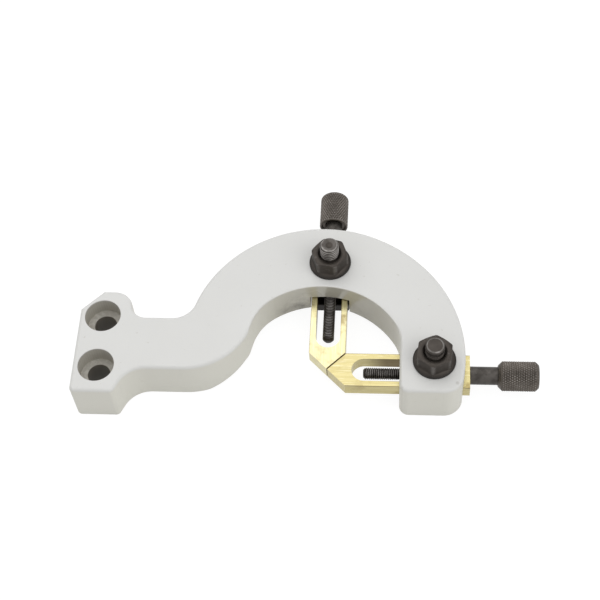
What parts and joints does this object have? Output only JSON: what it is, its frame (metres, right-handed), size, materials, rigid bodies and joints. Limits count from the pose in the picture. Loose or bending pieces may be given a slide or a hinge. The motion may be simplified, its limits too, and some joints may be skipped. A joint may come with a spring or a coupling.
{
  "type": "lathe follow rest",
  "caption": "Lathe follow rest: a painted casting with a bolting base and an open ring, whose brass fingers slide in or out by knurled screws and are clamped by flange nuts.",
  "frame": {"origin": "midway between the axes of the two mounting holes, on the flat back face that bolts to the saddle", "axes": "+X from the base along the arm to the work (up on the lathe), +Y to the side of the rear finger, +Z out of the back face to the side of the clamp nuts"},
  "size_m": [0.1946, 0.1083, 0.0355],
  "materials": {
    "casting_paint": "light grey satin paint over a casting",
    "finger_brass": "milled, lightly scratched",
    "black_steel": "black oxide, worn bright on the thread ends",
    "spring_steel": "plain spring steel"
  },
  "bodies": {
    "frame": {"frame_casting": "casting_paint", "top_clamp_bolt": "black_steel", "rear_clamp_bolt": "black_steel"},
    "top_finger": {"top_finger": "finger_brass"},
    "top_screw": {"top_adjusting_screw": "black_steel", "top_spring_ring": "spring_steel"},
    "top_nut": {"top_flange_nut": "black_steel"},
    "rear_finger": {"rear_finger": "finger_brass"},
    "rear_screw": {"rear_adjusting_screw": "black_steel", "rear_spring_ring": "spring_steel"},
    "rear_nut": {"rear_flange_nut": "black_steel"}
  },
  "joints": [
    {"name": "top_finger_slide", "type": "slide", "parent": "frame", "child": "top_finger", "axis": [1, 0, 0], "range_m": [0, 0.024]},
    {"name": "top_screw_turn", "type": "hinge", "parent": "top_finger", "child": "top_screw", "pos_m": [0.096, -0.007, 0.00935], "axis": [1, 0, 0], "range_deg": [0, 10800]},
    {"name": "top_nut_turn", "type": "hinge", "parent": "frame", "child": "top_nut", "pos_m": [0.141, -0.007, 0.0215], "axis": [0, 0, 1], "range_deg": [0, 360]},
    {"name": "rear_finger_slide", "type": "slide", "parent": "frame", "child": "rear_finger", "axis": [0, 1, 0], "range_m": [0, 0.024]},
    {"name": "rear_screw_turn", "type": "hinge", "parent": "rear_finger", "child": "rear_screw", "pos_m": [0.096, -0.007, 0.00935], "axis": [0, 1, 0], "range_deg": [0, 10800]},
    {"name": "rear_nut_turn", "type": "hinge", "parent": "frame", "child": "rear_nut", "pos_m": [0.096, 0.0406, 0.0215], "axis": [0, 0, 1], "range_deg": [0, 360]}
  ],
  "couplings": [
    {"joint": "top_finger_slide", "follows": "top_screw_turn", "m_per_rad": 0.00012732},
    {"joint": "rear_finger_slide", "follows": "rear_screw_turn", "m_per_rad": 0.00012732}
  ]
}
